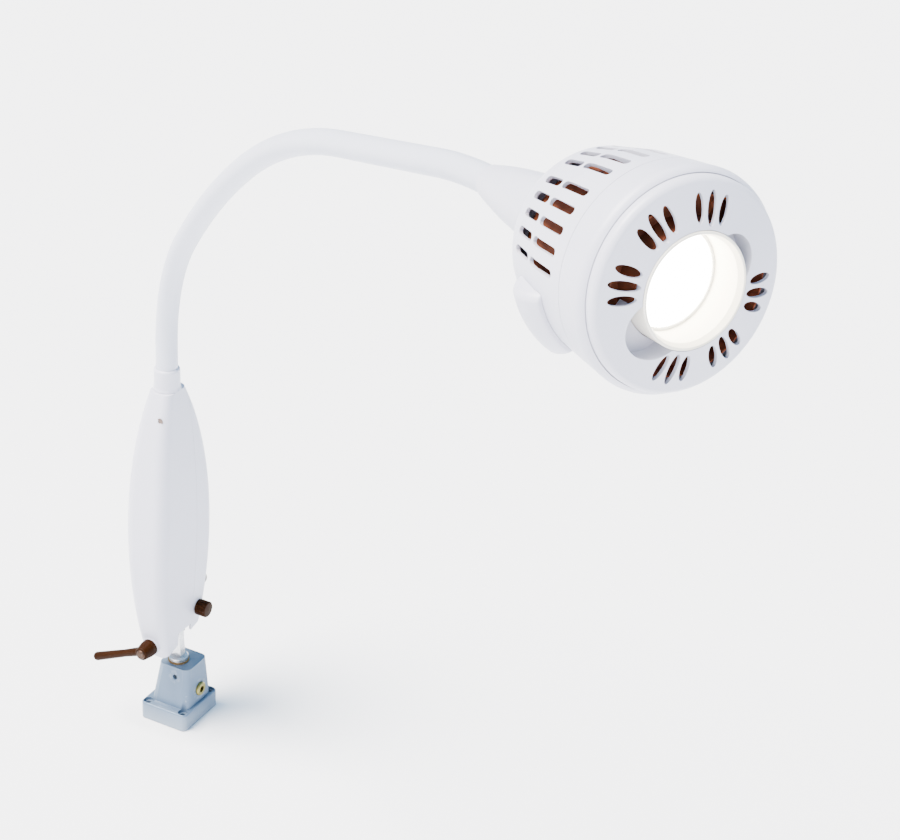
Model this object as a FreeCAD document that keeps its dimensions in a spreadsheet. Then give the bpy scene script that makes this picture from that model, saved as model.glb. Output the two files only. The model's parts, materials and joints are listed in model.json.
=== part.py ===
import FreeCAD, Part
import math
import os
import re
import Sketcher
from FreeCAD import Placement, Rotation, Vector

# Examination lamp: a cast mounting block, a swivel post, a slim transformer housing that tilts on the post,
# a gooseneck arm and a round vented lamp head. Millimetres and degrees. +Z is up, -Y is the housing's front,
# and the origin is the centre of the mounting flange's underside.

DIMENSIONS = {
    # mounting block
    "flange_width": 52, "flange_depth": 58, "flange_height": 18, "flange_corner": 5,
    "tower_width": 42, "tower_depth": 44, "tower_top_size": 34, "tower_top": 60, "tower_shift": 3,
    "mount_hole_radius": 2.6, "mount_spacing_x": 40, "mount_spacing_y": 46,
    "spotface_radius": 4.8, "spotface_height": 15,
    "bore_floor": 22, "bush_outer": 8, "bush_collar": 10.5, "bush_collar_height": 1.5,
    "clamp_screw_radius": 7, "clamp_screw_height": 31, "lock_screw_radius": 2.5, "lock_screw_height": 50,
    # swivel post and tilt joint
    "post_radius": 6, "running_gap": 0.05, "shoulder_radius": 9.5, "shoulder_height": 4.4,
    "thrust_height": 2, "hinge_height": 94, "eye_radius": 9.5, "eye_thickness": 8,
    "bolt_radius": 4, "friction_washer": 1, "cheek_thickness": 2.5, "cheek_top": 108, "spacer_radius": 7,
    # transformer housing
    "housing_shift_x": -6, "housing_shift_y": -4, "wall": 2.5, "seam": 13.5, "seam_gap": 0.2,
    "bottom_level": 74, "bottom_width": 25, "bottom_depth": 50, "bottom_round": 6,
    "lower_level": 120, "lower_width": 33, "lower_depth": 74.5, "lower_round": 9,
    "belly_level": 205, "belly_width": 43.5, "belly_depth": 86, "belly_round": 11,
    "upper_level": 290, "upper_width": 40, "upper_depth": 71.5, "upper_round": 11,
    "top_level": 357, "top_width": 24, "top_depth": 32, "top_round": 9,
    "hub_boss_radius": 9, "hub_boss_end": 38.5, "relief_width": 24, "relief_top": 99,
    "knob_axis_y": 19, "knob_axis_z": 114, "knob_radius": 8, "gland_height": 128,
    # clamp lever
    "lever_start": 38.9, "lever_end": 54, "lever_hub": 8.3, "lever_length": 66, "lever_droop": 25,
    # gooseneck
    "arm_azimuth": -31.8, "arm_level": 360, "sleeve_outer": 10, "sleeve_inner": 7.2, "hose_outer": 7.1,
    "hose_inner": 4.2, "link_gap": 2, "ferrule_outer": 12, "ferrule_bore": 10.1,
    # lamp head, measured from the rim plane, forward positive
    "head_offset": 209.9, "aperture_radius": 33.9, "barrel_outer": 35.6, "ring_bore": 36,
    "rim_radius": 65.2, "drum_radius": 69, "skin": 2.6, "drum_back": 31, "rear_radius": 67,
    "waist_radius": 63.6, "waist_level": 62, "corner_radius": 57.5, "corner_level": 90,
    "head_back": 113, "back_radius": 42, "hub_bore": 14.2,
    "slot_radius": 48, "slot_length": 20, "slot_width": 6.2, "face_angle": 77.4, "slot_fan": 10.4,
    "recess_floor": 9.5, "recess_wall": 1.2,
    "vent_width": 5.2, "vent_front": 41.5, "vent_split": 70, "vent_bar": 3, "vent_rear": 92,
    "vent_pitch": 11.3, "bank_angle": 31, "bank_pitch": 61,
    "handle_start": 190, "handle_sweep": 43, "handle_front": 54, "handle_crest": 70, "handle_back": 88,
    "handle_reach": 72, "handle_lip": 67.4, "handle_heel": 56,
    "spindle_radius": 8, "spindle_insert": 12, "boot_radius": 24, "boot_end": 213, "boot_curve": 430,
    "lens_radius": 32, "seat_radius": 30.5, "lens_level": 23,
    "trough_level": 13.2, "collar_radius": 38.6,
}

doc = FreeCAD.newDocument("ExaminationLamp")
sheet = doc.addObject("Spreadsheet::Sheet", "Dims")
for row, (alias, number) in enumerate(DIMENSIONS.items(), 1):
    sheet.set(f"A{row}", alias)
    sheet.set(f"B{row}", str(number))
    sheet.setAlias(f"B{row}", alias)
doc.recompute()

NODES = {}
ORIGIN = Placement()


# ---------------------------------------------------------------- helpers

def bound(text):
    """An expression on the sheet: every bare word is one of its aliases."""
    return re.sub(r"\b([a-z][a-z_]*)\b", r"Dims.\1", str(text))


def size(text):
    """The number that an expression on the sheet gives."""
    return float(sheet.evalExpression(bound(text)))


def node(label, thing, placement=ORIGIN):
    """Keeps a finished piece under its node name, at its place."""
    thing.Label = label
    if placement is not ORIGIN:
        thing.Placement = placement
    NODES[label] = thing
    return thing


def role_plane(body, role):
    return next(f for f in body.Origin.OriginFeatures if f.Role == role)


def new_sketch(body, role, offset="0"):
    sketch = body.newObject("Sketcher::SketchObject", "Outline")
    sketch.AttachmentSupport = [(role_plane(body, role), "")]
    sketch.MapMode = "FlatFace"
    if str(offset) != "0":
        sketch.setExpression("AttachmentOffset.Base.z", bound(offset))
    return sketch


def arc_between(start, end, radius):
    """The short arc from start to end. A positive radius turns left, a negative one right."""
    chord = end - start
    left = Vector(-chord.y, chord.x, 0).normalize()
    rise = math.sqrt(max(radius ** 2 - chord.Length ** 2 / 4, 0))
    centre = (start + end) * 0.5 + left * math.copysign(rise, radius)
    first, last = (start, end) if radius > 0 else (end, start)
    begin = math.atan2(first.y - centre.y, first.x - centre.x)
    finish = math.atan2(last.y - centre.y, last.x - centre.x)
    return Part.ArcOfCircle(Part.Circle(centre, Vector(0, 0, 1), abs(radius)), begin, finish)


def outline(sketch, points):
    """A closed outline. Each point is (x, y), or (x, y, radius) to reach it along an arc."""
    at = [Vector(size(p[0]), size(p[1]), 0) for p in points]
    count = len(points)
    starts, ends = [], []
    for i in range(count):
        following = points[(i + 1) % count]
        here, there = at[i], at[(i + 1) % count]
        if len(following) == 3:
            radius = size(following[2])
            index = sketch.addGeometry(arc_between(here, there, radius), False)
            sketch.addConstraint(Sketcher.Constraint("Radius", index, abs(radius)))
            turns_left = radius > 0
            starts.append((index, 1 if turns_left else 2))
            ends.append((index, 2 if turns_left else 1))
        else:
            index = sketch.addGeometry(Part.LineSegment(here, there), False)
            starts.append((index, 1))
            ends.append((index, 2))
    for i in range(count):
        sketch.addConstraint(Sketcher.Constraint("Coincident", *ends[i - 1], *starts[i]))
    for i, point in enumerate(points):
        for kind, text, number in (("DistanceX", point[0], at[i].x), ("DistanceY", point[1], at[i].y)):
            index = sketch.addConstraint(Sketcher.Constraint(kind, -1, 1, *starts[i], number))
            if re.search("[a-z]", str(text)):
                sketch.setExpression(f"Constraints[{index}]", bound(text))


def circle(sketch, x, y, radius):
    index = sketch.addGeometry(Part.Circle(Vector(size(x), size(y), 0), Vector(0, 0, 1), size(radius)), False)
    for kind, text in (("DistanceX", x), ("DistanceY", y)):
        number = sketch.addConstraint(Sketcher.Constraint(kind, -1, 1, index, 3, size(text)))
        sketch.setExpression(f"Constraints[{number}]", bound(text))
    number = sketch.addConstraint(Sketcher.Constraint("Radius", index, size(radius)))
    sketch.setExpression(f"Constraints[{number}]", bound(radius))


def turned(points):
    """A body turned about its own Z axis from an outline in (radius, height)."""
    body = doc.addObject("PartDesign::Body", "Turned")
    sketch = new_sketch(body, "XZ_Plane")
    outline(sketch, points)
    turn = body.newObject("PartDesign::Revolution", "Turn")
    turn.Profile = sketch
    turn.ReferenceAxis = (sketch, ["V_Axis"])
    turn.Angle = 360
    sketch.Visibility = False
    return body


def tube(outer, inner, low, high):
    return turned([(inner, low), (outer, low), (outer, high), (inner, high)])


def padded(role, points, length, offset="0", holes=(), middle=False):
    """A body padded from an outline on one of its origin planes."""
    body = doc.addObject("PartDesign::Body", "Padded")
    sketch = new_sketch(body, role, offset)
    outline(sketch, points)
    for hole in holes:
        circle(sketch, *hole)
    pad = body.newObject("PartDesign::Pad", "Pad")
    pad.Profile = sketch
    pad.setExpression("Length", bound(length))
    pad.Midplane = middle
    return body


def rectangle(width, depth, x="0", y="0"):
    return [(f"{x} - ({width}) / 2", f"{y} - ({depth}) / 2"), (f"{x} + ({width}) / 2", f"{y} - ({depth}) / 2"),
            (f"{x} + ({width}) / 2", f"{y} + ({depth}) / 2"), (f"{x} - ({width}) / 2", f"{y} + ({depth}) / 2")]


def rounded_rectangle(width, depth, corner, x="0", y="0"):
    half_w, half_d = f"({width}) / 2", f"({depth}) / 2"
    left, right = f"{x} - {half_w}", f"{x} + {half_w}"
    front, back = f"{y} - {half_d}", f"{y} + {half_d}"
    return [(f"{left} + {corner}", front), (f"{right} - {corner}", front), (right, f"{front} + {corner}", corner),
            (right, f"{back} - {corner}"), (f"{right} - {corner}", back, corner), (f"{left} + {corner}", back),
            (left, f"{back} - {corner}", corner), (left, f"{front} + {corner}"),
            (f"{left} + {corner}", front, corner)][1:]


def box(low, high):
    """A Part::Box between two corners given as expressions."""
    made = doc.addObject("Part::Box", "Block")
    for axis, name, a, b in zip("xyz", ("Length", "Width", "Height"), low, high):
        made.setExpression(name, bound(f"({b}) - ({a})"))
        made.setExpression(f"Placement.Base.{axis}", bound(a))
    return made


def rod(radius, length, placement=ORIGIN):
    made = doc.addObject("Part::Cylinder", "Rod")
    made.setExpression("Radius", bound(radius))
    made.setExpression("Height", bound(length))
    made.Placement = placement
    return made


def cut(base, *tools):
    made = doc.addObject("Part::Cut", "Cut")
    made.Base = base
    made.Tool = tools[0] if len(tools) == 1 else fuse(*tools)
    return made


def fuse(*things):
    made = doc.addObject("Part::MultiFuse", "Fuse")
    made.Shapes = list(things)
    return made


def common(first, second):
    made = doc.addObject("Part::Common", "Common")
    made.Base, made.Tool = first, second
    return made


def group(*things):
    """Identical loose pieces kept together as separate solids."""
    made = doc.addObject("Part::Compound", "Group")
    made.Links = list(things)
    return made


def shaped(shape):
    made = doc.addObject("Part::Feature", "Shaped")
    made.Shape = shape
    return made


def facing(x, y, z, direction):
    """A placement at a point whose local Z axis looks along a direction."""
    return Placement(Vector(x, y, z), Rotation(Vector(0, 0, 1), Vector(*direction)))


TO_FRONT, TO_RIGHT, TO_BACK = (0, -1, 0), (1, 0, 0), (0, 1, 0)
HOUSING_X, HOUSING_Y = size("housing_shift_x"), size("housing_shift_y")
HINGE_Z = size("hinge_height")


# ---------------------------------------------------------------- mounting block

def base_block():
    flange = padded("XY_Plane", rounded_rectangle("flange_width", "flange_depth", "flange_corner"),
                    "flange_height")
    tower = doc.addObject("PartDesign::Body", "Tower")
    foot = new_sketch(tower, "XY_Plane", "flange_height - 0.5")
    outline(foot, rounded_rectangle("tower_width", "tower_depth", "6", "tower_shift / 2", "tower_shift / 2"))
    crown = new_sketch(tower, "XY_Plane", "tower_top")
    outline(crown, rounded_rectangle("tower_top_size", "tower_top_size", "6", "tower_shift", "tower_shift"))
    loft = tower.newObject("PartDesign::AdditiveLoft", "Taper")
    loft.Profile = foot
    loft.Sections = [crown]
    loft.Ruled = True
    half_x, half_y = size("mount_spacing_x / 2"), size("mount_spacing_y / 2")
    tools = [rod("bush_outer", "tower_top - bore_floor + 1", facing(0, 0, size("bore_floor"), (0, 0, 1))),
             rod("clamp_screw_radius", "30", facing(size("bush_outer"), 4, size("clamp_screw_height"), TO_RIGHT)),
             rod("lock_screw_radius", "30", facing(6, -8.2, size("lock_screw_height"), TO_FRONT))]
    for x in (-half_x, half_x):
        for y in (-half_y, half_y):
            tools.append(rod("mount_hole_radius", "flange_height + 2", facing(x, y, -1, (0, 0, 1))))
            tools.append(rod("spotface_radius", "50", facing(x, y, size("spotface_height"), (0, 0, 1))))
    softened = doc.addObject("Part::Fillet", "SoftFlange")
    softened.Base = flange
    doc.recompute()
    rim = size("flange_height")
    softened.Edges = [(i, 1.6, 1.6) for i, edge in enumerate(flange.Shape.Edges, 1)
                      if all(abs(v.Point.z - rim) < 1e-6 for v in edge.Vertexes)]
    node("base_block", cut(fuse(softened, tower), *tools))


def base_fittings():
    node("bore_bush", turned([
        ("post_radius + running_gap", "bore_floor + thrust_height"), ("bush_outer", "bore_floor + thrust_height"),
        ("bush_outer", "tower_top"), ("bush_collar", "tower_top"),
        ("bush_collar", "tower_top + bush_collar_height"),
        ("post_radius + running_gap", "tower_top + bush_collar_height")]))
    node("thrust_washer", turned([("0", "bore_floor"), ("bush_outer - 0.3", "bore_floor"),
                                  ("bush_outer - 0.3", "bore_floor + thrust_height"),
                                  ("0", "bore_floor + thrust_height")]))
    screw = turned([("0", "0"), ("4.5", "0"), ("clamp_screw_radius - 0.1", "2.5"),
                    ("clamp_screw_radius - 0.1", "13.6"), ("clamp_screw_radius - 0.8", "14.4"), ("0", "14.4")])
    hexagon = doc.addObject("Part::Prism", "HexSocket")
    hexagon.Polygon, hexagon.Circumradius, hexagon.Height = 6, 3.5, 8
    hexagon.Placement = Placement(Vector(0, 0, 9), Rotation())
    node("post_clamp_screw", cut(screw, hexagon),
         facing(size("bush_outer + 1.7"), 4, size("clamp_screw_height"), TO_RIGHT))
    lock = turned([("0", "0"), ("lock_screw_radius - 0.1", "0"), ("lock_screw_radius - 0.1", "5"), ("0", "5")])
    slot = doc.addObject("Part::Box", "Slot")
    slot.Length, slot.Width, slot.Height = 6, 0.8, 2
    slot.Placement = Placement(Vector(-3, -0.4, 3.6), Rotation())
    node("bush_lock_screw", cut(lock, slot), facing(6, -8.4, size("lock_screw_height"), TO_FRONT))


# ---------------------------------------------------------------- swivel post and tilt joint

def swivel_post():
    seat = "tower_top + bush_collar_height + running_gap"
    pin = turned([("0", "bore_floor + thrust_height + running_gap"),
                  ("post_radius - 1", "bore_floor + thrust_height + running_gap"),
                  ("post_radius", "bore_floor + thrust_height + running_gap + 1"), ("post_radius", seat),
                  ("shoulder_radius", seat), ("shoulder_radius", f"{seat} + shoulder_height - 1"),
                  ("shoulder_radius - 1", f"{seat} + shoulder_height"), ("0", f"{seat} + shoulder_height")])
    eye_x, eye_z, radius = "housing_shift_x", "hinge_height", "eye_radius"
    lug = padded("XZ_Plane", [("-6", "tower_top + 5"), ("5", "tower_top + 5"), ("4.5", "tower_top + 14"),
                              (f"{eye_x} + {radius}", eye_z), (eye_x, f"{eye_z} + {radius}", radius),
                              (f"{eye_x} - {radius}", eye_z, radius)],
                 "eye_thickness", holes=[(eye_x, eye_z, "bolt_radius + running_gap")], middle=True)
    node("swivel_post", fuse(pin, lug))


def tilt_joint():
    half_eye = size("eye_thickness / 2")
    washer, cheek = size("friction_washer"), size("cheek_thickness")
    ring = [tube("8", "bolt_radius + running_gap", "0", "friction_washer") for _ in range(2)]
    ring[0].Placement = facing(HOUSING_X, -half_eye - 0.02, HINGE_Z, TO_FRONT)
    ring[1].Placement = facing(HOUSING_X, half_eye + 0.02, HINGE_Z, TO_BACK)
    node("friction_washers", group(*ring))

    inside = half_eye + washer + 0.04
    plates = []
    for side in (-1, 1):
        plate = padded("XZ_Plane", [("housing_shift_x - 9", "cheek_top"), ("housing_shift_x - 9", "hinge_height"),
                                    ("housing_shift_x", "hinge_height - 9", "9"),
                                    ("housing_shift_x + 9", "hinge_height", "9"),
                                    ("housing_shift_x + 9", "cheek_top")],
                       "cheek_thickness", holes=[("housing_shift_x", "hinge_height", "bolt_radius")], middle=True)
        plate.Placement = Placement(Vector(0, side * (inside + cheek / 2), 0), Rotation())
        plates.append(plate)
    web = box(("housing_shift_x - 9", f"-{inside + cheek}", "cheek_top"),
              ("housing_shift_x + 9", f"{inside + cheek}", "cheek_top + cheek_thickness"))
    node("tilt_bracket", fuse(*plates, web))

    outside = inside + cheek + 0.02
    bolt = turned([("0", "0"), ("bolt_radius - 0.8", "0"), ("bolt_radius", "0.8"),
                   ("bolt_radius", f"{outside + 9} + lever_end - 4"), ("0", f"{outside + 9} + lever_end - 4")])
    node("tilt_bolt", bolt, facing(HOUSING_X, outside + 9, HINGE_Z, TO_FRONT))
    nut = doc.addObject("Part::Prism", "NutBlank")
    nut.Polygon, nut.Circumradius, nut.Height = 6, 7.5, 6.5
    node("tilt_nut", cut(nut, rod("bolt_radius", "10", facing(0, 0, -1, (0, 0, 1)))),
         facing(HOUSING_X, outside, HINGE_Z, TO_BACK))
    length = size("hub_boss_end") - outside - 6.3
    node("clamp_spacer", tube("spacer_radius", "bolt_radius", "0", str(length)),
         facing(HOUSING_X, -outside, HINGE_Z, TO_FRONT))


# ---------------------------------------------------------------- transformer housing

STATIONS = ("bottom", "lower", "belly", "upper", "top")


def housing_form(inset, top_inset):
    """The closed form of the housing, smaller by an inset all round."""
    body = doc.addObject("PartDesign::Body", "HousingForm")
    sections = []
    for name in STATIONS:
        level = f"{name}_level - {top_inset}" if name == "top" else f"{name}_level"
        sketch = new_sketch(body, "XY_Plane", level)
        outline(sketch, rounded_rectangle(f"{name}_width - 2 * {inset}", f"{name}_depth - 2 * {inset}",
                                          f"({name}_round - {inset} * 0.8)",
                                          "housing_shift_x", "housing_shift_y"))
        sections.append(sketch)
    loft = body.newObject("PartDesign::AdditiveLoft", "Loft")
    loft.Profile = sections[0]
    loft.Sections = sections[1:]
    loft.Ruled = False
    return body


def below_slope():
    """The wedge that cuts the housing's underside, low at the front and high at the back."""
    return padded("YZ_Plane", [("-60", "0"), ("60", "0"), ("60", "106"), ("-60", "71.5")], "120", middle=True)


def half_space(front):
    edge = "housing_shift_y + seam"
    if front:
        return box(("-60", "-80", "40"), ("60", edge, "400"))
    return box(("-60", f"{edge} + seam_gap", "40"), ("60", "80", "400"))


def bolt_line(radius, start, length):
    return rod(radius, length, facing(HOUSING_X, start, HINGE_Z, TO_FRONT))


def housing_shells():
    skin = cut(housing_form("0", "0"), housing_form("wall", "3"), below_slope())
    relief = box(("-60", "-relief_width / 2", "40"), ("60", "relief_width / 2", "relief_top"))
    front = common(skin, half_space(True))
    boss = fuse(front, bolt_line("hub_boss_radius", -size("hub_boss_end - 6"), "6"))
    screw_x, screw_z = 2, 335
    node("housing_front_shell", cut(
        boss, relief, bolt_line("bolt_radius + 0.2", -size("hub_boss_end - 20"), "30"),
        bolt_line("spacer_radius + 0.2", -size("hub_boss_end - 20"), "13.9"),
        rod("9.1", "20", facing(HOUSING_X, HOUSING_Y, size("top_level - 10"), (0, 0, 1))),
        rod("1.7", "60", facing(screw_x, 0, screw_z, TO_FRONT))))
    back = common(skin, half_space(False))
    spindle_hole = rod("3.4", "40", facing(0, size("knob_axis_y"), size("knob_axis_z"), TO_RIGHT))
    gland_hole = rod("6.1", "40", facing(HOUSING_X, 20, size("gland_height"), TO_BACK))
    node("housing_rear_shell", cut(back, spindle_hole, gland_hole,
                                   rod("1.7", "60", facing(HOUSING_X, 0, 300, TO_BACK)),
                                   rod("1.7", "60", facing(HOUSING_X, 0, 160, TO_BACK))))


def countersunk_screw(length):
    return turned([("0", f"-{length}"), ("1.5", f"-{length}"), ("1.5", "-2"), ("3", "-0.6"), ("3", "0"),
                   ("0", "0.5")])


def surface_y(x, z, toward_front):
    """Where the outside of a shell lies on a line along Y."""
    shell = NODES["housing_front_shell" if toward_front else "housing_rear_shell"].Shape
    probe = Part.makeLine(Vector(x + 2.2, -80, z), Vector(x + 2.2, 80, z))
    hits = [v.Point.y for v in shell.common(probe).Vertexes]
    return min(hits) if toward_front else max(hits)


def housing_fasteners():
    doc.recompute()
    screws = []
    for x, z, front in ((2, 335, True), (HOUSING_X, 300, False), (HOUSING_X, 160, False)):
        screw = countersunk_screw(16)
        step = -0.65 if front else 0.65
        screw.Placement = facing(x, surface_y(x, z, front) + step, z, TO_FRONT if front else TO_BACK)
        screws.append(screw)
    node("housing_screws", group(*screws))


def electrical_parts():
    cx, cy = "housing_shift_x", "housing_shift_y"
    core = box((f"{cx} - 11", f"{cy} - 26", "180"), (f"{cx} + 11", f"{cy} + 26", "236"))
    windows = [box((f"{cx} - 20", f"{cy} {a}", "190"), (f"{cx} + 20", f"{cy} {b}", "226"))
               for a, b in (("- 18", "- 8"), ("+ 8", "+ 18"))]
    node("transformer_core", cut(core, *windows))
    coil = padded("XY_Plane", rounded_rectangle("31", "35", "5", cx, cy), "35", "190.5")
    limb = box((f"{cx} - 11.2", f"{cy} - 8.2", "150"), (f"{cx} + 11.2", f"{cy} + 8.2", "260"))
    node("transformer_coil", cut(coil, limb))
    block = box((f"{cx} - 9", f"{cy} - 20", "262"), (f"{cx} + 9", f"{cy} + 18", "273"))
    holes = [rod("2", "20", facing(HOUSING_X + x, HOUSING_Y + y, 265, (0, 0, 1)))
             for x in (-4.5, 4.5) for y in (-15, -5, 5, 13)]
    node("terminal_block", cut(block, *holes))
    node("fuse_holder", turned([("0", "0"), ("5", "0"), ("5", "26"), ("6.5", "26"), ("6.5", "30"), ("0", "30")]),
         facing(HOUSING_X, HOUSING_Y - 14, 284, (0, 0, 1)))
    node("rotary_switch", padded("YZ_Plane", rounded_rectangle("16", "20", "2", "knob_axis_y - 3", "knob_axis_z"),
                                 "12", "-9"))
    node("cord_gland", turned([("3.2", "-7"), ("6", "-7"), ("6", "3"), ("9", "3"), ("9", "8"), ("7.5", "8"),
                               ("7.5", "12"), ("5", "16", "4.5"), ("3.2", "16")]),
         facing(HOUSING_X, 34.5, size("gland_height"), TO_BACK))


def arm_socket():
    centre = facing(HOUSING_X, HOUSING_Y, 0, (0, 0, 1))
    node("arm_socket", turned([("hose_outer", "332"), ("9", "332"), ("9", "360"), ("hose_outer", "360")]), centre)
    nut = doc.addObject("Part::Prism", "SocketNut")
    nut.Polygon, nut.Circumradius, nut.Height = 6, 11, 5
    nut.Placement = Placement(Vector(0, 0, 340), Rotation())
    node("arm_socket_nut", cut(nut, rod("9", "20", facing(0, 0, 335, (0, 0, 1)))), centre)
    node("base_ferrule", turned([
        ("9.2", "top_level + 0.2"), ("ferrule_outer + 1", "top_level + 0.2"), ("ferrule_outer", "top_level + 3"),
        ("ferrule_outer", "376"), ("ferrule_outer - 1.6", "378.5", "2.6"), ("ferrule_bore", "378.5"),
        ("ferrule_bore", "361"), ("9.2", "361")]), centre)


# ---------------------------------------------------------------- clamp lever and switch knob

def clamp_lever():
    hub = turned([("bolt_radius + running_gap", "lever_start"), ("lever_hub", "lever_start"),
                  ("lever_hub", "lever_start + 5"), ("lever_hub - 1.6", "lever_end - 1.5"),
                  ("lever_hub - 3.1", "lever_end", "1.5"), ("bolt_radius + running_gap", "lever_end")])
    arm = turned([("0", "0"), ("4.6", "0"), ("3.7", "26"), ("4.3", "lever_length - 4.3"),
                  ("0", "lever_length", "4.3")])
    droop = math.radians(size("lever_droop"))
    # in the hub's own frame X points to the lamp's right, Y up and Z to the front: the arm hangs to the left
    arm.Placement = Placement(Vector(0, 0, size("lever_start + 7.5")),
                              Rotation(Vector(0, 0, 1), Vector(-math.cos(droop), -math.sin(droop), 0)))
    bore = rod("bolt_radius + running_gap", "20", facing(0, 0, size("lever_start - 1"), (0, 0, 1)))
    turn = Placement(Vector(HOUSING_X, 0, HINGE_Z), Rotation(Vector(1, 0, 0), 90))
    node("clamp_lever", cut(fuse(hub, arm), bore), turn)
    node("lever_screw", turned([("0", "lever_end - 3.8"), ("2.6", "lever_end - 3.8"), ("2.6", "lever_end + 0.1"),
                                ("4.6", "lever_end + 0.1"), ("3.4", "lever_end + 1.6", "2.2"),
                                ("0", "lever_end + 1.6")]), turn)


def switch_knob():
    blank = turned([("0", "0"), ("knob_radius", "0"), ("knob_radius", "9.5"), ("knob_radius - 1.5", "11", "1.5"),
                    ("0", "11.4")])
    flutes = []
    for i in range(12):
        angle = math.radians(30 * i)
        reach = size("knob_radius + 0.9")
        flutes.append(rod("1.5", "20", facing(reach * math.cos(angle), reach * math.sin(angle), 2, (0, 0, 1))))
    axis_y, axis_z = size("knob_axis_y"), size("knob_axis_z")
    socket = rod("2.5", "7", facing(0, 0, -1, (0, 0, 1)))
    node("switch_knob", cut(blank, socket, *flutes), facing(11.2, axis_y, axis_z, TO_RIGHT))
    node("switch_spindle", tube("2.5", "0", "0", "12.8"), facing(3.4, axis_y, axis_z, TO_RIGHT))


# ---------------------------------------------------------------- gooseneck

LINKS = ((40, 0), (128, 40), (169, 14), (171.5, 21.7), (142.5, 0), (71.5, 10.4))   # arc length, turn
AZIMUTH = math.radians(size("arm_azimuth"))
OUTWARD = Vector(math.cos(AZIMUTH), math.sin(AZIMUTH), 0)
SIDEWAYS = Vector(-math.sin(AZIMUTH), math.cos(AZIMUTH), 0)
UP = Vector(0, 0, 1)
ARM_ROOT = Vector(HOUSING_X, HOUSING_Y, size("arm_level"))


def along(heading):
    return OUTWARD * math.cos(heading) + UP * math.sin(heading)


def arm_stations():
    """Start point, heading and turn of every link, and the arm's end."""
    point, heading, stations = ARM_ROOT, math.radians(90), []
    for length, turn_degrees in LINKS:
        turn = math.radians(turn_degrees)
        stations.append((point, heading, length, turn))
        chord = length if not turn else 2 * length / turn * math.sin(turn / 2)
        point = point + along(heading - turn / 2) * chord
        heading -= turn
    return stations, point, heading


STATIONS_ALONG_ARM, ARM_END, ARM_END_HEADING = arm_stations()


def bent_tube(outer, inner, station, trim_start, trim_end):
    """A tube along one link's arc, trimmed at both ends."""
    point, heading, length, turn = station
    if not turn:
        straight = tube(outer, inner, str(trim_start), str(length - trim_end))
        straight.Placement = Placement(point, Rotation(UP, along(heading)))
        return straight
    radius = length / turn
    rings = []
    for section in (outer, inner):
        ring = doc.addObject("Part::Torus", "Ring")
        ring.Radius1 = radius
        ring.setExpression("Radius2", bound(section))
        ring.Angle3 = math.degrees((length - trim_start - trim_end) / radius)
        rings.append(ring)
    made = cut(*rings)
    start = heading - trim_start / radius
    to_tube = OUTWARD * -math.sin(heading) + UP * math.cos(heading)
    centre = point - to_tube * radius
    spoke = OUTWARD * -math.sin(start) + UP * math.cos(start)
    made.Placement = Placement(centre, Rotation(spoke, along(start), SIDEWAYS, "ZXY"))
    return made


def gooseneck():
    gap, last = size("link_gap"), len(LINKS) - 1
    for i, station in enumerate(STATIONS_ALONG_ARM):
        start = 2 if i == 0 else gap
        end = 0 if i == last else gap
        node(f"gooseneck_sleeve_{i}", bent_tube("sleeve_outer", "sleeve_inner", station, start, end))
        hose_start = -26 if i == 0 else gap
        hose_end = size("spindle_insert") + 1 if i == last else gap
        node(f"gooseneck_hose_{i}", bent_tube("hose_outer", "hose_inner", station, hose_start, hose_end))


# ---------------------------------------------------------------- lamp head

HEAD_AXIS = along(ARM_END_HEADING)
HEAD_RIGHT = UP.cross(HEAD_AXIS).normalize()
HEAD_UP = HEAD_AXIS.cross(HEAD_RIGHT)
HEAD = Placement(ARM_END + HEAD_AXIS * size("head_offset"), Rotation(HEAD_RIGHT, HEAD_UP, HEAD_AXIS, "ZXY"))


def leaf_bar(angle, radius, length, width, low, high):
    """An elliptical bar whose long axis lies along a radius, standing from low to high."""
    rim = Part.Ellipse(Vector(radius, 0, low), length / 2, width / 2).toShape()
    bar = Part.Face(Part.Wire([rim])).extrude(Vector(0, 0, high - low))
    bar.rotate(Vector(0, 0, 0), Vector(0, 0, 1), angle)
    return bar


def vent_bar(angle, near, far, width):
    """A radial bar that cuts one vent through the rear housing's wall between two depths."""
    half = width / 2
    a, b = Vector(0, 0, -near - half), Vector(0, 0, -far + half)
    side = Vector(0, half, 0)
    edges = [Part.makeLine(a - side, b - side),
             Part.Arc(b - side, b - Vector(0, 0, half), b + side).toShape(),
             Part.makeLine(b + side, a + side),
             Part.Arc(a + side, a + Vector(0, 0, half), a - side).toShape()]
    wire = Part.Wire(edges)
    wire.translate(Vector(35, 0, 0))
    bar = Part.Face(wire).extrude(Vector(50, 0, 0))
    bar.rotate(Vector(0, 0, 0), Vector(0, 0, 1), angle)
    return bar


RECESSES = ((216, 31.4, 19), (30, 27, 16.5))   # angle on the face, distance of the lobe's centre, its radius


def recess_lobes(margin, low, high):
    """Round lobes that overlap the lens opening, one for each finger recess."""
    lobes = []
    for angle, distance, radius in RECESSES:
        lobe = Part.makeCylinder(radius + margin, high - low, Vector(distance, 0, low))
        lobe.rotate(Vector(0, 0, 0), Vector(0, 0, 1), angle)
        lobes.append(lobe)
    return shaped(Part.makeCompound(lobes))


def face_slots():
    """Six groups of three leaf-shaped slots, on the eight even places that the recesses leave free."""
    bars = []
    for place in (0, 1, 2, 4, 5, 6):
        middle = size("face_angle") + 45 * place
        for step in (-1, 0, 1):
            length = size("slot_length") * (0.86 if step else 1)
            bars.append(leaf_bar(middle + step * size("slot_fan"), size("slot_radius"), length,
                                 size("slot_width"), -30, 20))
    return shaped(Part.makeCompound(bars))


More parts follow.
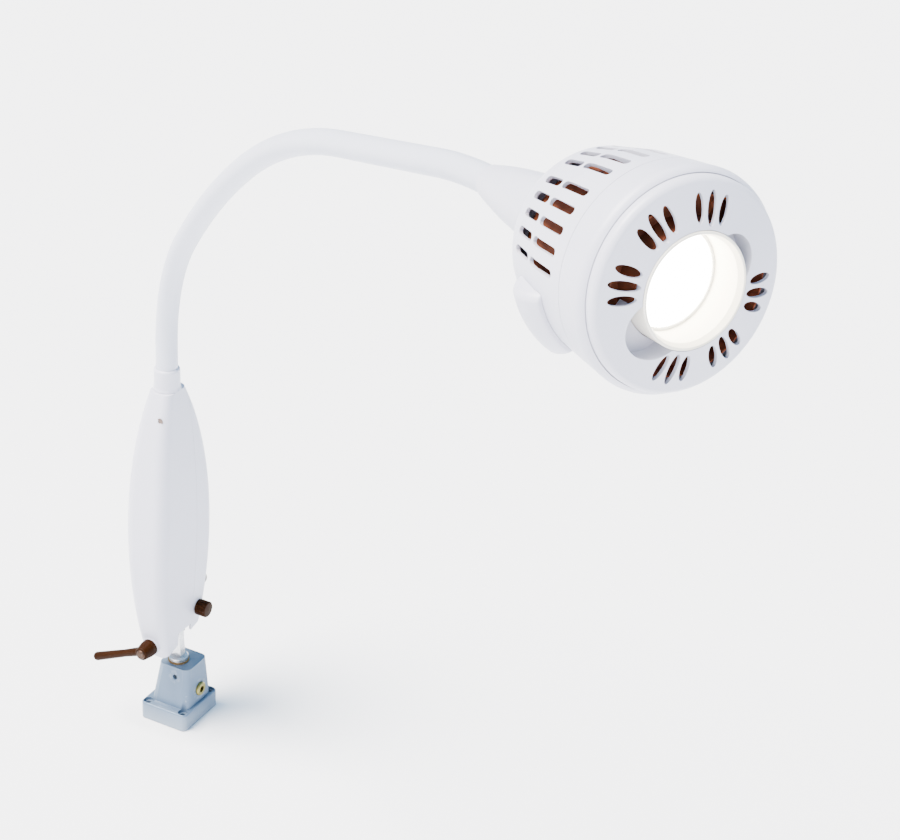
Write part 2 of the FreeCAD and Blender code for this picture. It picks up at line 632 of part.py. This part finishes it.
def front_ring():
    blank = turned([
        ("ring_bore", "-14"), ("ring_bore + 2", "-14"), ("ring_bore + 2", "4.2"), ("rim_radius - 5", "-1.6"),
        ("rim_radius - skin", "-3.4"), ("rim_radius - skin", "-7.5"), ("rim_radius", "-7.5"),
        ("rim_radius", "-3"), ("rim_radius - 4", "0.9", "4.4"), ("ring_bore", "7.3")])
    floor = size("recess_floor")
    under_face = turned([("ring_bore + 1", "-15"), ("rim_radius - 4", "-15"), ("rim_radius - 4", "0.8"),
                         ("ring_bore + 1", "6.9")])
    trays = common(recess_lobes(size("recess_wall"), -floor - size("recess_wall"), 20), under_face)
    pocketed = cut(fuse(blank, trays), recess_lobes(0, -floor, 20))
    slotted = cut(pocketed, face_slots())
    slotted.Refine = False
    node("front_ring", slotted, HEAD)


def front_drum():
    node("front_drum", turned([
        ("rear_radius - skin", "-drum_back"), ("rear_radius", "-drum_back"), ("drum_radius", "-12"),
        ("drum_radius - 3.4", "-6", "6.5"), ("drum_radius - 3.4", "-7.9"), ("rim_radius - 8", "-7.9"),
        ("rim_radius - 8", "-10.4"), ("drum_radius - 5.2", "-10.4"), ("drum_radius - skin - 0.2", "-13")]), HEAD)
    screws = []
    for i in range(4):
        angle = math.radians(45 + 90 * i + 10)
        screw = turned([("0", "-13"), ("3", "-13"), ("3", "-10.8"), ("1.5", "-10.5"), ("1.5", "-8"), ("0", "-8")])
        screw.Placement = Placement(Vector(58.5 * math.cos(angle), 58.5 * math.sin(angle), 0), Rotation())
        screws.append(screw)
    node("ring_screws", group(*screws), HEAD)


def rear_profile(skin_inset):
    """The rear housing's outside, from the seam to the back hub, smaller by an inset."""
    t = skin_inset
    return [(f"rear_radius - {t}", "-drum_back - seam_gap"), (f"waist_radius - {t}", "-waist_level"),
            (f"corner_radius - {t}", "-corner_level"),
            (f"back_radius - {t} * 0.6", f"-head_back + {t} * 0.9", "-30")]


def rear_outline():
    """The outside again, from the back hub forward to the seam."""
    seam, waist, shoulder, back = rear_profile("0")
    return [(*back[:2], "22"), (*shoulder, "30"), waist, seam]


def rear_housing():
    blank = turned([("hub_bore", "-head_back - 2"), ("back_radius - 9", "-head_back - 2")] + rear_outline()
                   + [("rear_radius - skin", "-drum_back - seam_gap"), ("rear_radius - skin - 0.2", "-27"),
                      ("rear_radius - 2 * skin", "-27"), ("rear_radius - 2 * skin", "-34")]
                   + rear_profile("skin")[1:] + [("hub_bore", "-head_back + skin * 0.9")])
    vents = []
    for bank in range(3):
        for step in range(-2, 3):
            angle = size("bank_angle") + size("bank_pitch") * bank + size("vent_pitch") * step
            vents.append(vent_bar(angle, size("vent_front"), size("vent_split"), size("vent_width")))
            vents.append(vent_bar(angle, size("vent_split + vent_bar"), size("vent_rear"), size("vent_width")))
    node("rear_housing", cut(blank, shaped(Part.makeCompound(vents))), HEAD)


def head_handle():
    """A low curved grip on the lower left of the rear housing, deepest in the middle."""
    start, sweep, root = size("handle_start"), size("handle_sweep"), 50
    heel = Vector(size("handle_heel"), 0, -size("handle_back"))
    crest = Vector(size("handle_reach"), 0, -size("handle_crest"))
    lip = Vector(size("handle_lip"), 0, -size("handle_front"))
    foot, brow = Vector(root, 0, heel.z), Vector(root, 0, lip.z)
    edges = [Part.makeLine(foot, heel), Part.Arc(heel, crest, lip).toShape(), Part.makeLine(lip, brow),
             Part.makeLine(brow, foot)]
    grip = Part.Face(Part.Wire(edges)).revolve(Vector(0, 0, 0), UP, sweep)
    grip.rotate(Vector(0, 0, 0), UP, start)
    ends = [e for e in grip.Edges if abs(e.Vertexes[0].Z - e.Vertexes[-1].Z) > 20
            and all(math.hypot(v.X, v.Y) > root + 1 for v in e.Vertexes)]
    grip = grip.makeFillet(5, ends)
    front_rim = [e for e in grip.Edges if all(abs(v.Z - lip.z) < 0.01 for v in e.Vertexes)
                 and math.hypot(e.CenterOfMass.x, e.CenterOfMass.y) > root + 8]
    grip = grip.makeFillet(2, front_rim)
    clear = [(f"{p[0]} + 0.1", *p[1:]) for p in rear_outline()]
    envelope = turned([("0", "-head_back - 3"), ("back_radius - 9", "-head_back - 2.2")] + clear
                      + [("0", "-drum_back")])
    node("head_handle", cut(shaped(grip), envelope), HEAD)
    screws = []
    for share in (0.3, 0.7):
        screw = turned([("0", "0"), ("3", "0"), ("3", "1.8"), ("1.5", "2.2"), ("1.5", "12"), ("0", "12")])
        a = math.radians(start + share * sweep)
        direction = Vector(math.cos(a), math.sin(a), 0)
        screw.Placement = Placement(direction * 55.9 + Vector(0, 0, -72), Rotation(UP, direction))
        screws.append(screw)
    node("handle_screws", group(*screws), HEAD)


def lens_group():
    node("lens_barrel", turned([
        ("seat_radius", "-lens_level - 3"), ("barrel_outer", "-lens_level - 3"), ("barrel_outer", "7.1"),
        ("barrel_outer - 0.6", "7.9", "0.7"), ("aperture_radius", "7.9"), ("lens_radius + 0.1", "4"),
        ("lens_radius + 0.1", "-lens_level"), ("seat_radius", "-lens_level")]), HEAD)
    node("lens", turned([("0", "-lens_level"), ("lens_radius", "-lens_level"), ("lens_radius", "-lens_level + 3"),
                         ("2", "-lens_level + 9", "90"), ("0", "-lens_level + 9")]), HEAD)
    node("lens_retaining_ring", turned([
        ("lens_radius - 1.8", "-lens_level + 4.1"), ("lens_radius", "-lens_level + 4.1"),
        ("lens_radius", "-lens_level + 5.7"), ("lens_radius - 1.8", "-lens_level + 5.7")]), HEAD)
    node("heat_filter", tube("28.5", "0", "-lens_level - 6.4", "-lens_level - 3.4"), HEAD)
    node("filter_carrier", turned([
        ("26.5", "-lens_level - 8.2"), ("barrel_outer - 0.4", "-lens_level - 8.2"),
        ("barrel_outer - 0.4", "-lens_level - 3.1"), ("28.6", "-lens_level - 3.1"),
        ("28.6", "-lens_level - 6.5"), ("26.5", "-lens_level - 6.5")]), HEAD)


def heat_shield():
    """A thin can round the bulb whose front end is an annular trough behind the face slots."""
    can = turned([
        ("12", "-98"), ("41", "-98"), ("50", "-89", "9"), ("54.5", "-40"), ("54.5", "-0.6"), ("53.7", "-0.6"),
        ("53.7", "-trough_level"), ("collar_radius + 0.8", "-trough_level"), ("collar_radius + 0.8", "3"),
        ("collar_radius", "3"), ("collar_radius", "-trough_level - 0.8"), ("53.7", "-trough_level - 0.8"),
        ("53.7", "-40"), ("49.2", "-88.8"), ("41", "-97.2", "-8.2"), ("12", "-97.2")])
    level, clearance = size("trough_level"), size("recess_wall") + 0.5
    air_slots = [leaf_bar(30 * i, 46.5, 10, 4, -level - 2, -level + 1) for i in range(12)]
    node("heat_shield", cut(can, shaped(Part.makeCompound(air_slots)),
                            recess_lobes(clearance, -size("recess_floor") - clearance, 20)), HEAD)


def lamp_parts():
    node("reflector", turned([
        ("8", "-76"), ("9.2", "-76"), ("9.2", "-70"), ("29", "-38", "-60"), ("31", "-38"), ("31", "-36.8"),
        ("28", "-36.8"), ("8", "-69.6", "58.8")]), HEAD)
    capsule = turned([("0", "-74"), ("4.8", "-74"), ("5.2", "-70"), ("5.2", "-56"), ("0", "-50.8", "5.2")])
    pins = [rod("0.6", "9", facing(x, 0, -83, (0, 0, 1))) for x in (-2.6, 2.6)]
    node("halogen_bulb", fuse(capsule, *pins), HEAD)
    sockets = [rod("0.6", "9", facing(x, 0, -83, (0, 0, 1))) for x in (-2.6, 2.6)]
    body = padded("XY_Plane", rounded_rectangle("18", "12", "2"), "14", "-90.5")
    node("lamp_socket", cut(body, *sockets), HEAD)
    bracket = padded("XY_Plane", rounded_rectangle("72", "20", "6"), "1.6", "-92.2",
                     holes=[("-24", "0", "1.8"), ("24", "0", "1.8")])
    clips = [box((f"{s} * 31 - 0.8", "-8", "-92.2"), (f"{s} * 31 + 0.8", "8", "-38.1")) for s in ("-1", "1")]
    feet = [box((x0, "-8", "-39.4"), (x1, "8", "-38.1")) for x0, x1 in (("-31.5", "-29.4"), ("29.4", "31.5"))]
    node("socket_bracket", fuse(bracket, *clips, *feet), HEAD)
    screws = []
    for x in (-24, 24):
        screw = turned([("0", "-97.1"), ("1.7", "-97.1"), ("1.7", "-90.4"), ("3.2", "-90.4"),
                        ("2.4", "-88.8", "1.8"), ("0", "-88.8")])
        screw.Placement = Placement(Vector(x, 0, 0), Rotation())
        screws.append(screw)
    node("bracket_screws", group(*screws), HEAD)


def neck():
    node("neck_boot", turned([
        ("hub_bore", "-head_back - 2.2"), ("boot_radius", "-head_back - 2.2"),
        ("sleeve_outer + 1.6", "-boot_end", "-boot_curve"), ("sleeve_outer + 0.3", "-boot_end"),
        ("sleeve_outer + 0.3", "-boot_end + 8"), ("boot_radius - 3", "-head_back - 6", "boot_curve"),
        ("hub_bore", "-head_back - 6")]), HEAD)
    node("swivel_bush", turned([
        ("spindle_radius + running_gap", "-head_back - 12"), ("17", "-head_back - 12"),
        ("17", "-head_back - 6.2"), ("hub_bore - 0.2", "-head_back - 6.2"), ("hub_bore - 0.2", "-head_back"),
        ("spindle_radius + running_gap", "-head_back")]), HEAD)
    node("neck_spindle", turned([
        ("hose_inner", "-head_offset - spindle_insert"), ("hose_outer", "-head_offset - spindle_insert"),
        ("hose_outer", "-head_offset + 0.3"),
        ("sleeve_outer", "-head_offset + 0.3"), ("sleeve_outer", "-head_offset + 3"),
        ("spindle_radius", "-head_offset + 5"), ("spindle_radius", "-105"), ("hose_inner", "-105")]), HEAD)
    nut = tube("12", "spindle_radius", "-head_back + 0.05", "-head_back + 6")
    flats = [box(("10.4", "-20", "-120"), ("30", "20", "-100")), box(("-30", "-20", "-120"), ("-10.4", "20", "-100"))]
    node("spindle_nut", cut(nut, *flats), HEAD)


# ---------------------------------------------------------------- build, check and write

for make in (base_block, base_fittings, swivel_post, tilt_joint, housing_shells, housing_fasteners,
             electrical_parts, arm_socket, clamp_lever, switch_knob, gooseneck, front_ring, front_drum,
             rear_housing, head_handle, lens_group, heat_shield, lamp_parts, neck):
    make()
doc.recompute()

faults = [f"{o.Label}: {o.State}" for o in doc.Objects if "Invalid" in o.State or "Error" in o.State]
for label, piece in NODES.items():
    if piece.Shape.isNull() or not piece.Shape.isValid() or not piece.Shape.Solids:
        faults.append(f"{label}: bad shape")
if faults:
    raise RuntimeError("; ".join(faults))

os.makedirs("parts", exist_ok=True)
for label, piece in NODES.items():
    piece.Shape.exportStep(f"parts/{label}.step")
    print(f"{label}: {len(piece.Shape.Solids)} solid(s), {piece.Shape.Volume / 1000:.2f} cm3")
print(len(NODES), "nodes")
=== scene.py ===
import json
import math
import bmesh
import bpy
from mathutils import Matrix, Vector


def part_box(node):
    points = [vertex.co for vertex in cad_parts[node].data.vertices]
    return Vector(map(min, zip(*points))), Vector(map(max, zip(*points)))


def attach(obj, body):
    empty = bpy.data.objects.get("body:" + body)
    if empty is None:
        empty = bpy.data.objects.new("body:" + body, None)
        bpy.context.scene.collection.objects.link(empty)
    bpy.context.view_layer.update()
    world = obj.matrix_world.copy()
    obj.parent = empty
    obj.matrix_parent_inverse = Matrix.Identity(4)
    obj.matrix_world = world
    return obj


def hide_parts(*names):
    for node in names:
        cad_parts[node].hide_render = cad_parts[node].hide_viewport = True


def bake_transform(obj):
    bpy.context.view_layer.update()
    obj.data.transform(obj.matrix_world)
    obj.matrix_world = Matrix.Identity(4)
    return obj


# Examination lamp: finishes for the CAD nodes, the gooseneck's smooth sleeve, and the studio. Metres.

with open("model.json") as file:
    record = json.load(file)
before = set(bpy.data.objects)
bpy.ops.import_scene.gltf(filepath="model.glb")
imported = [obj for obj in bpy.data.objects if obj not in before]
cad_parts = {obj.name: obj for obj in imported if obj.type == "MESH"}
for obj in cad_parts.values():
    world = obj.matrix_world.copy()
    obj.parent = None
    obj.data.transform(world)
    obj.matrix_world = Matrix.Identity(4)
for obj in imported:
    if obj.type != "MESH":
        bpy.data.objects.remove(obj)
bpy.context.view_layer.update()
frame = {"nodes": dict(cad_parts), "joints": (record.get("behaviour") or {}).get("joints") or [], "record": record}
NODES = frame["nodes"]
JOINTS = {joint["name"]: joint for joint in frame["joints"]}
MM = 0.001


# ---------------------------------------------------------------- materials

# lamp colours, as reflected shares of red, green and blue light
WHITE = (0.58, 0.58, 0.66)
SLEEVE_WHITE = (0.56, 0.58, 0.66)
UMBER = (0.020, 0.0055, 0.0004)
CAST_SILVER = (0.11, 0.165, 0.24)
# the lens barrel's colour is painted light: warm lamp light painted onto a white barrel
BARREL_LAMPLIGHT_CREAM = (0.93, 0.88, 0.76)
LINER_DARK = (0.085, 0.024, 0.010)
LINER_LIGHT = (0.21, 0.060, 0.026)
LAMP_GLOW = (1.0, 0.96, 0.86)
GLOW_STRENGTH = 24


def colour_from_slot(name):
    for material in frame["record"]["materials"]:
        if material["slot"] == name:
            return tuple(material["base_color"][:3])
    raise KeyError(name)


class Paint:
    """Builds one node material on the object's own coordinates."""

    def __init__(self, name):
        self.material = bpy.data.materials.new(name)
        self.material.use_nodes = True
        self.tree = self.material.node_tree
        self.shader = next(n for n in self.tree.nodes if n.type == "BSDF_PRINCIPLED")
        self.place = self.add("ShaderNodeTexCoord").outputs["Object"]

    def add(self, kind, **settings):
        made = self.tree.nodes.new(kind)
        for key, value in settings.items():
            setattr(made, key, value)
        return made

    def link(self, source, target):
        self.tree.links.new(source, target)

    def noise(self, scale, detail, rough=0.5, stretch=(1, 1, 1)):
        mapping = self.add("ShaderNodeMapping")
        mapping.inputs["Scale"].default_value = stretch
        self.link(self.place, mapping.inputs["Vector"])
        made = self.add("ShaderNodeTexNoise")
        made.inputs["Scale"].default_value = scale
        made.inputs["Detail"].default_value = detail
        made.inputs["Roughness"].default_value = rough
        self.link(mapping.outputs["Vector"], made.inputs["Vector"])
        return made.outputs["Fac"]

    def ramp(self, source, stops):
        made = self.add("ShaderNodeValToRGB")
        points = made.color_ramp.elements
        while len(points) < len(stops):
            points.new(0.5)
        for element, (position, value) in zip(points, stops):
            element.position = position
            element.color = (*value, 1) if isinstance(value, tuple) else (value, value, value, 1)
        self.link(source, made.inputs["Fac"])
        return made.outputs["Color"]

    def bump(self, source, strength, distance, under=None):
        made = self.add("ShaderNodeBump")
        made.inputs["Strength"].default_value = strength
        made.inputs["Distance"].default_value = distance
        self.link(source, made.inputs["Height"])
        if under is not None:
            self.link(under, made.inputs["Normal"])
        return made.outputs["Normal"]

    def edge_wear(self, base, worn, amount=0.25):
        """Mixes in a worn colour where the surface is convex."""
        pointy = self.add("ShaderNodeNewGeometry").outputs["Pointiness"]
        mask = self.ramp(pointy, [(0.52, 0.0), (0.60, amount)])
        mix = self.add("ShaderNodeMix", data_type="RGBA")
        self.link(mask, mix.inputs["Factor"])
        self.link(base, mix.inputs["A"])
        mix.inputs["B"].default_value = (*worn, 1)
        return mix.outputs["Result"]

    def rounded(self, radius):
        """A normal that softens sharp edges, as a moulding or a casting has them."""
        made = self.add("ShaderNodeBevel")
        made.samples = 4
        made.inputs["Radius"].default_value = radius
        return made.outputs["Normal"]

    def set(self, **values):
        """Sets or links the shader's sockets and gives back the material."""
        for key, value in values.items():
            socket = self.shader.inputs[key.replace("_", " ")]
            if isinstance(value, bpy.types.NodeSocket):
                self.link(value, socket)
            elif isinstance(value, tuple) and len(value) == 3:
                socket.default_value = (*value, 1)
            else:
                socket.default_value = value
        return self.material


def tinted(colour, factor):
    return tuple(max(0.0, min(1.0, c * factor)) for c in colour)


def plastic(name, colour, roughness, grain=1400, grain_depth=0.00002, variation=0.03, shine=0.5):
    """Moulded plastic: cloudy tone, fine grain, softened edges and slightly wavy faces."""
    paint = Paint(name)
    cloud = paint.noise(9, 2)
    tone = paint.ramp(cloud, [(0.3, tinted(colour, 1 - variation)), (0.7, tinted(colour, 1 + variation / 2))])
    rough = paint.ramp(paint.noise(60, 4), [(0.3, roughness - 0.05), (0.7, roughness + 0.07)])
    fine = paint.bump(paint.noise(grain, 2), 0.35, grain_depth, under=paint.rounded(0.5 * MM))
    wave = paint.bump(paint.noise(35, 1), 0.12, 0.0002, under=fine)
    return paint.set(Base_Color=tone, Roughness=rough, Normal=wave, IOR=1.5, Specular_IOR_Level=shine)


def metal(name, colour, roughness, stretch=(1, 1, 1), grain=500, depth=0.00003, worn=None):
    """Bare or blackened metal, with its tool marks along the stretched axis."""
    paint = Paint(name)
    cloud = paint.noise(25, 4)
    tone = paint.ramp(cloud, [(0.25, tinted(colour, 0.86)), (0.75, tinted(colour, 1.08))])
    if worn:
        tone = paint.edge_wear(tone, worn)
    rough = paint.ramp(paint.noise(80, 5, stretch=stretch), [(0.3, roughness - 0.08), (0.7, roughness + 0.1)])
    relief = paint.bump(paint.noise(grain, 4, stretch=stretch), 0.4, depth)
    return paint.set(Base_Color=tone, Roughness=rough, Normal=relief, Metallic=1.0)


def cast_paint():
    """Silver lacquer on a sand-textured casting."""
    paint = Paint("cast_alloy_paint")
    tone = paint.ramp(paint.noise(30, 5), [(0.3, tinted(CAST_SILVER, 0.9)), (0.7, tinted(CAST_SILVER, 1.06))])
    tone = paint.edge_wear(tone, (0.42, 0.46, 0.5), 0.35)
    rough = paint.ramp(paint.noise(120, 4), [(0.3, 0.34), (0.7, 0.5)])
    grain = paint.bump(paint.noise(900, 5, 0.65), 0.5, 0.00008, under=paint.rounded(0.7 * MM))
    lumps = paint.bump(paint.noise(110, 2), 0.25, 0.0003, under=grain)
    return paint.set(Base_Color=tone, Roughness=rough, Normal=lumps, Metallic=0.25)


def wound_hose():
    """Steel hose wound from strip, one turn after another along its axis."""
    paint = Paint("wound_hose")
    wave = paint.add("ShaderNodeTexWave", wave_type="BANDS", bands_direction="Z", wave_profile="SIN")
    wave.inputs["Scale"].default_value = 160
    wave.inputs["Distortion"].default_value = 0.0
    paint.link(paint.place, wave.inputs["Vector"])
    # painted shade: the colour is dark in the grooves between turns and light on the crests, following the relief
    tone = paint.ramp(wave.outputs["Fac"], [(0.1, (0.2, 0.2, 0.21)), (0.6, (0.6, 0.61, 0.63))])
    relief = paint.bump(wave.outputs["Fac"], 0.8, 0.0006)
    return paint.set(Base_Color=tone, Normal=relief, Metallic=1.0, Roughness=0.35)


def heat_stained():
    """Copper brown liner behind the vents, in darker and lighter patches at random."""
    paint = Paint("heat_stained_liner")
    tone = paint.ramp(paint.noise(22, 5), [(0.3, LINER_DARK), (0.7, LINER_LIGHT)])
    relief = paint.bump(paint.noise(260, 4), 0.4, 0.0001)
    return paint.set(Base_Color=tone, Normal=relief, Roughness=0.6, Specular_IOR_Level=0.2)


def lit_glass(name, strength, tint):
    """Lens glass filled with lamp light, with faint moulded rings."""
    paint = Paint(name)
    glow = paint.ramp(paint.noise(30, 2), [(0.35, tinted(tint, 0.93)), (0.65, tint)])
    relief = paint.bump(paint.noise(90, 3), 0.15, 0.0002)
    paint.set(Base_Color=(0.98, 0.97, 0.93), Roughness=0.12, Normal=relief, IOR=1.5)
    return paint.set(Emission_Color=glow, Emission_Strength=strength)


def clear_glass(name, tint):
    """Glass with a faint haze."""
    paint = Paint(name)
    rough = paint.ramp(paint.noise(70, 3), [(0.3, 0.02), (0.7, 0.08)])
    return paint.set(Base_Color=tint, Roughness=rough, Transmission_Weight=0.92, IOR=1.47)


def mirror_coat():
    """The reflector's faceted mirror."""
    paint = Paint("dichroic_mirror")
    cells = paint.add("ShaderNodeTexVoronoi", feature="SMOOTH_F1")
    cells.inputs["Scale"].default_value = 180
    paint.link(paint.place, cells.inputs["Vector"])
    relief = paint.bump(cells.outputs["Distance"], 0.5, 0.0008)
    tone = paint.ramp(paint.noise(20, 2), [(0.3, (0.9, 0.86, 0.8)), (0.7, (0.95, 0.94, 0.92))])
    return paint.set(Base_Color=tone, Metallic=1.0, Roughness=0.12, Normal=relief)


def laminations():
    """The edges of the transformer's stacked iron sheets."""
    paint = Paint("core_laminations")
    wave = paint.add("ShaderNodeTexWave", wave_type="BANDS", bands_direction="X")
    wave.inputs["Scale"].default_value = 320
    paint.link(paint.place, wave.inputs["Vector"])
    tone = paint.ramp(wave.outputs["Fac"], [(0.2, (0.08, 0.08, 0.09)), (0.7, (0.3, 0.3, 0.31))])
    relief = paint.bump(wave.outputs["Fac"], 0.5, 0.0002)
    return paint.set(Base_Color=tone, Metallic=0.8, Roughness=0.5, Normal=relief)


MATERIALS = {
    "cast_alloy": cast_paint(),
    "bronze": metal("oiled_bronze", (0.42, 0.24, 0.10), 0.38, (1, 1, 12)),
    "brass": metal("dull_brass", (0.34, 0.29, 0.09), 0.36, (1, 1, 8)),
    "steel": metal("zinc_steel", (0.62, 0.63, 0.65), 0.3, (1, 1, 10)),
    "dark_steel": metal("blackened_steel", (0.05, 0.075, 0.085), 0.42, worn=(0.3, 0.32, 0.34)),
    "white_shell": plastic("white_shell_plastic", WHITE, 0.36),
    "white_sleeve": plastic("white_sleeve_pvc", SLEEVE_WHITE, 0.42, grain=900),
    "dark_plastic": plastic("dark_brown_plastic", UMBER, 0.42, grain=700, grain_depth=0.00006,
                            variation=0.25, shine=0.05),
    "core_iron": laminations(),
    "winding": plastic("winding_tape", colour_from_slot("winding"), 0.5, grain=300, grain_depth=0.0001,
                       variation=0.2),
    "cream_plastic": plastic("cream_plastic", colour_from_slot("cream_plastic"), 0.5),
    "black_plastic": plastic("black_plastic", colour_from_slot("black_plastic"), 0.4),
    "hose_steel": wound_hose(),
    "copper_brown": heat_stained(),
    "mirror_coat": mirror_coat(),
    "lens_glass": lit_glass("lit_lens_glass", GLOW_STRENGTH, LAMP_GLOW),
    "bulb_glass": clear_glass("quartz_glass", (0.98, 0.96, 0.9)),
    "ceramic": plastic("steatite_ceramic", colour_from_slot("ceramic"), 0.6, grain=500, grain_depth=0.00008),
    "nylon": plastic("natural_nylon", colour_from_slot("nylon"), 0.45),
}

# nodes whose finish differs from their slot's
OWN_FINISHES = {
    # the lens barrel is painted warm cream for the lamp light that falls on it: painted light
    "lens_barrel": plastic("barrel_painted_lamplight", BARREL_LAMPLIGHT_CREAM, 0.45),
    "lever_screw": metal("blackened_screw", (0.06, 0.035, 0.025), 0.5, worn=(0.2, 0.16, 0.13)),
    "housing_screws": metal("bronzed_screw", (0.16, 0.11, 0.09), 0.45, worn=(0.4, 0.36, 0.33)),
}


def finish_nodes():
    """Every CAD node gets its own procedural finish, or else the finish of its slot."""
    for part in frame["record"]["subparts"]:
        node = NODES[part["node"]]
        node.data.materials.clear()
        finish = OWN_FINISHES.get(part["node"], MATERIALS[part["material_slot"]])
        node.data.materials.append(finish)


# ---------------------------------------------------------------- gooseneck sleeve

SLEEVE_RADIUS = 10 * MM
SLEEVE_BORE = 7.25 * MM
RING_SIDES = 36
RING_STEP = 3 * MM
STRAIGHT = 1e-6


def arm_joints():
    """The gooseneck's hinge points from the root, then the arm's end. Joint names end in their number."""
    names = sorted((n for n in JOINTS if n.startswith("gooseneck_")), key=lambda n: n[-1])
    return [Vector(JOINTS[n]["pos_m"]) for n in names] + [Vector(JOINTS["head_turn"]["pos_m"])]


def centreline():
    """Points and directions every few millimetres along the tangent arcs through the hinge points."""
    stops = arm_joints()
    root = stops[0].copy()
    root.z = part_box("gooseneck_sleeve_0")[0].z
    outward = stops[-1] - root
    outward.z = 0
    outward.normalize()
    up = Vector((0, 0, 1))
    heading = math.radians(90)
    here = root
    line = []
    for there in stops:
        chord = there - here
        slope = math.atan2(chord.z, chord.dot(outward))
        turn = 2 * (heading - slope)
        length = chord.length if abs(turn) < STRAIGHT else chord.length * turn / 2 / math.sin(turn / 2)
        count = max(2, round(length / RING_STEP))
        for i in range(count):
            part = turn * i / count
            chord_part = length * i / count
            if abs(turn) >= STRAIGHT:
                chord_part = 2 * length / turn * math.sin(part / 2)
            direction = heading - part / 2
            point = here + (outward * math.cos(direction) + up * math.sin(direction)) * chord_part
            tangent = outward * math.cos(heading - part) + up * math.sin(heading - part)
            line.append((point, tangent))
        heading -= turn
        here = there
    line.append((here, outward * math.cos(heading) + up * math.sin(heading)))
    return line, outward.cross(up)


def tube_piece(name, line, side):
    """A closed pipe wall round part of the centreline."""
    mesh = bpy.data.meshes.new(name)
    build = bmesh.new()
    walls = []
    for radius in (SLEEVE_RADIUS, SLEEVE_BORE):
        rings = []
        for point, tangent in line:
            normal = side.cross(tangent).normalized()
            rings.append([build.verts.new(point + (side * math.cos(a) + normal * math.sin(a)) * radius)
                          for a in (2 * math.pi * i / RING_SIDES for i in range(RING_SIDES))])
        walls.append(rings)
    for wall, flip in zip(walls, (False, True)):
        for low, high in zip(wall, wall[1:]):
            for i in range(RING_SIDES):
                j = (i + 1) % RING_SIDES
                face = (low[i], low[j], high[j], high[i])
                build.faces.new(face[::-1] if flip else face)
    for end in (0, -1):
        for i in range(RING_SIDES):
            j = (i + 1) % RING_SIDES
            build.faces.new((walls[0][end][i], walls[0][end][j], walls[1][end][j], walls[1][end][i]))
    bmesh.ops.recalc_face_normals(build, faces=build.faces)
    for face in build.faces:
        face.smooth = True
    for wall in walls:
        for i in range(RING_SIDES):
            for ring in (wall[0], wall[-1]):
                build.edges.get((ring[i], ring[(i + 1) % RING_SIDES])).smooth = False
    build.to_mesh(mesh)
    build.free()
    piece = bpy.data.objects.new(name, mesh)
    bpy.context.scene.collection.objects.link(piece)
    mesh.materials.append(MATERIALS["white_sleeve"])
    return piece


def gooseneck_sleeve():
    """One smooth sleeve in five lengths, each bending across one hinge."""
    line, side = centreline()
    stops = arm_joints()
    count = len(stops) - 1
    bodies = ["housing"] + [f"link_{i}" for i in range(1, count + 1)]
    nearest = [min(range(len(line)), key=lambda k: (line[k][0] - stop).length) for stop in stops]
    middles = [0] + [(a + b) // 2 for a, b in zip(nearest[:-2], nearest[1:-1])] + [len(line) - 1]
    for i in range(count):
        stretch = line[middles[i]:middles[i + 1] + 1]
        piece = tube_piece(f"sleeve_length_{i + 1}", stretch, side)
        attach(piece, bodies[i])
        piece.parent = None   # a bent piece has no parent and follows neither body
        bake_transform(piece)
        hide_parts(*([f"gooseneck_sleeve_{i}"] if i < 4 else
                             ["gooseneck_sleeve_4", "gooseneck_sleeve_5"]))


# ---------------------------------------------------------------- stage, light and camera

CAMERA_PLACE = Vector((1.0052, -1.4561, 1.2683))
CAMERA_RIGHT = Vector((0.8826, 0.4677, 0.0481))
CAMERA_UP = Vector((-0.2572, 0.3946, 0.8821))
FOCAL_LENGTH = 86.77
SENSOR_WIDTH = 36
FLOOR_SIZE = 60
FLOOR_DROP = 0.5 * MM
SKY_COLOUR = (0.36, 0.66, 1.0)
SKY_STRENGTH = 1.35
# name, direction of travel, strength, spread in degrees, colour
LIGHTS = (
    ("key", (0.5, 0.42, -1.25), 18.5, 35, (1.0, 0.92, 0.85)),
    ("fill", (-0.35, 0.93, -0.12), 2.8, 60, (1.0, 0.9, 0.88)),
)


def camera():
    data = bpy.data.cameras.new("camera")
    data.lens = FOCAL_LENGTH
    data.sensor_width = SENSOR_WIDTH
    made = bpy.data.objects.new("camera", data)
    right = CAMERA_RIGHT.normalized()
    back = right.cross(CAMERA_UP).normalized()
    up = back.cross(right)
    made.matrix_world = Matrix.Translation(CAMERA_PLACE) @ Matrix((right, up, back)).transposed().to_4x4()
    bpy.context.scene.collection.objects.link(made)
    bpy.context.scene.camera = made


def floor():
    bpy.ops.mesh.primitive_plane_add(size=FLOOR_SIZE, location=(0, 0, -FLOOR_DROP))
    plane = bpy.context.object
    plane.name = "floor"
    paint = Paint("pale_floor")
    tone = paint.ramp(paint.noise(2, 2), [(0.3, (0.94, 0.94, 0.94)), (0.7, (0.95, 0.95, 0.95))])
    plane.data.materials.append(paint.set(Base_Color=tone, Roughness=0.9))


def broad_light(name, towards, strength, spread, colour):
    """An even light from far away, as wide as a big soft box."""
    data = bpy.data.lights.new(name, "SUN")
    data.energy = strength
    data.angle = math.radians(spread)
    data.color = colour
    made = bpy.data.objects.new(name, data)
    made.rotation_euler = Vector(towards).to_track_quat("-Z", "Y").to_euler()
    bpy.context.scene.collection.objects.link(made)


def lights():
    world = bpy.data.worlds.new("studio")
    world.use_nodes = True
    background = world.node_tree.nodes["Background"]
    background.inputs["Color"].default_value = (*SKY_COLOUR, 1)
    background.inputs["Strength"].default_value = SKY_STRENGTH
    bpy.context.scene.world = world
    for light in LIGHTS:
        broad_light(*light)


finish_nodes()
gooseneck_sleeve()
floor()
lights()
camera()
